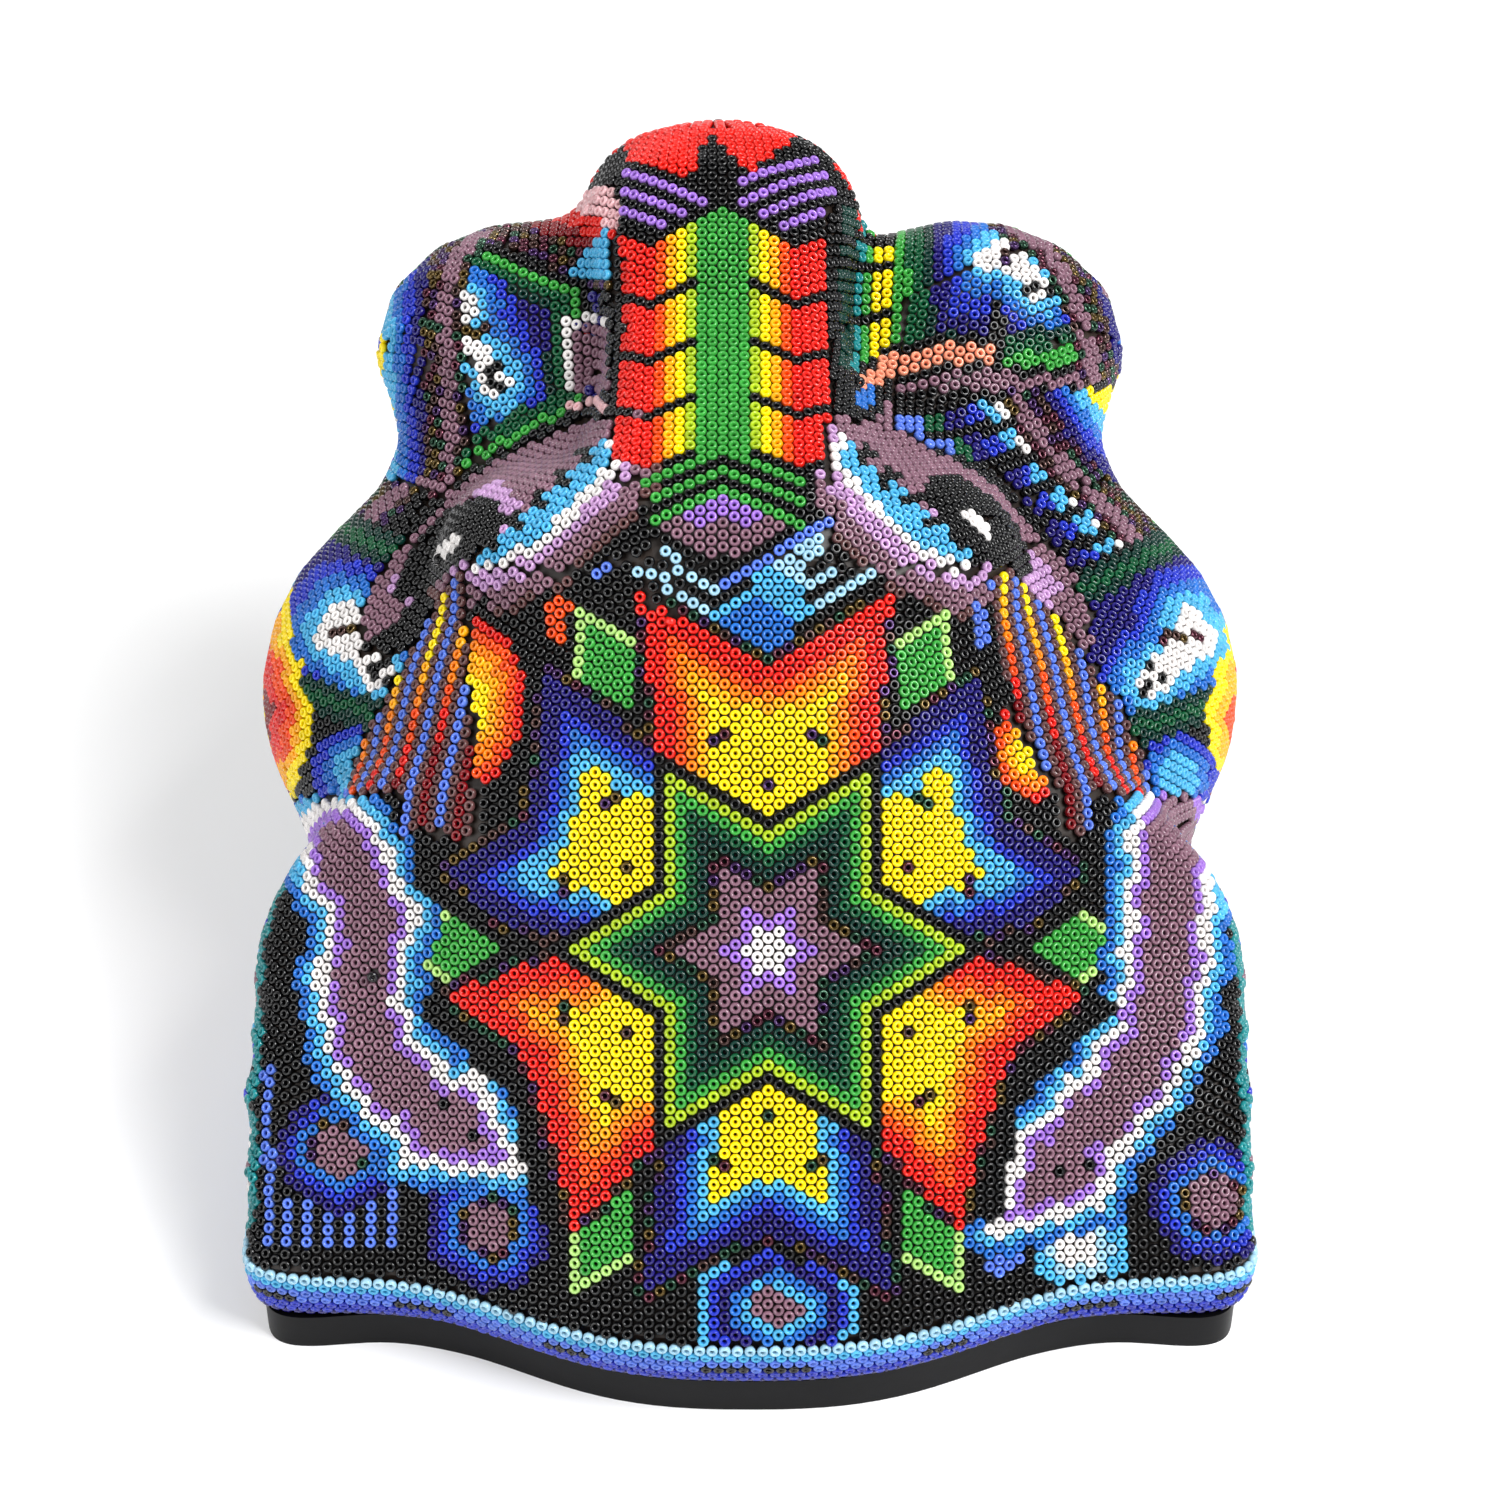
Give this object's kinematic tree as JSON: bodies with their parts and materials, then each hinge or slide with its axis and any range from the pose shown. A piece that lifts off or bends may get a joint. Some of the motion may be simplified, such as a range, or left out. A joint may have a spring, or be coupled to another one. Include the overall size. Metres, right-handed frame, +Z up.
{
  "type": "beaded head figure",
  "caption": "Big-cat head on a flat neck base, covered all over with seed beads in star, flame, serpent and stripe patterns.",
  "frame": {"origin": "middle of the bounding box, on the table under the plinth", "axes": "+Z up, the nose points along -Y, the star on the nape faces +Y, +X is the animal's left"},
  "size_m": [0.184, 0.191, 0.1565],
  "materials": {
    "beads_base_band": "glossy seed beads standing hole up",
    "beads_brow": "glossy seed beads standing hole up",
    "beads_cheek_left": "glossy seed beads standing hole up",
    "beads_cheek_right": "glossy seed beads standing hole up",
    "beads_chin": "glossy seed beads standing hole up",
    "beads_eye_left": "glossy seed beads standing hole up",
    "beads_eye_right": "glossy seed beads standing hole up",
    "beads_fan_left": "glossy seed beads standing hole up",
    "beads_fan_right": "glossy seed beads standing hole up",
    "beads_muzzle_left": "glossy seed beads standing hole up",
    "beads_muzzle_right": "glossy seed beads standing hole up",
    "beads_nape_ground": "glossy seed beads standing hole up",
    "beads_nose_bridge": "glossy seed beads standing hole up",
    "beads_nose_tip": "glossy seed beads standing hole up",
    "beads_petal_bottom": "glossy seed beads standing hole up",
    "beads_petal_lower_left": "glossy seed beads standing hole up",
    "beads_petal_lower_right": "glossy seed beads standing hole up",
    "beads_petal_top": "glossy seed beads standing hole up",
    "beads_petal_upper_left": "glossy seed beads standing hole up",
    "beads_petal_upper_right": "glossy seed beads standing hole up",
    "beads_star": "glossy seed beads standing hole up",
    "beads_throat": "glossy seed beads standing hole up",
    "beads_upper_lip": "glossy seed beads standing hole up",
    "beads_wing_left": "glossy seed beads standing hole up",
    "beads_wing_right": "glossy seed beads standing hole up",
    "core": "raw, hidden",
    "black_paint": "black paint, low sheen",
    "beeswax": "dark waxy film"
  },
  "bodies": {
    "root": {"beads_base_band": "beads_base_band", "beads_brow": "beads_brow", "beads_cheek_left": "beads_cheek_left", "beads_cheek_right": "beads_cheek_right", "beads_chin": "beads_chin", "beads_eye_left": "beads_eye_left", "beads_eye_right": "beads_eye_right", "beads_fan_left": "beads_fan_left", "beads_fan_right": "beads_fan_right", "beads_muzzle_left": "beads_muzzle_left", "beads_muzzle_right": "beads_muzzle_right", "beads_nape_ground": "beads_nape_ground", "beads_nose_bridge": "beads_nose_bridge", "beads_nose_tip": "beads_nose_tip", "beads_petal_bottom": "beads_petal_bottom", "beads_petal_lower_left": "beads_petal_lower_left", "beads_petal_lower_right": "beads_petal_lower_right", "beads_petal_top": "beads_petal_top", "beads_petal_upper_left": "beads_petal_upper_left", "beads_petal_upper_right": "beads_petal_upper_right", "beads_star": "beads_star", "beads_throat": "beads_throat", "beads_upper_lip": "beads_upper_lip", "beads_wing_left": "beads_wing_left", "beads_wing_right": "beads_wing_right", "core_shell": "core", "plinth": "black_paint", "wax_coat": "beeswax"}
  },
  "joints": []
}
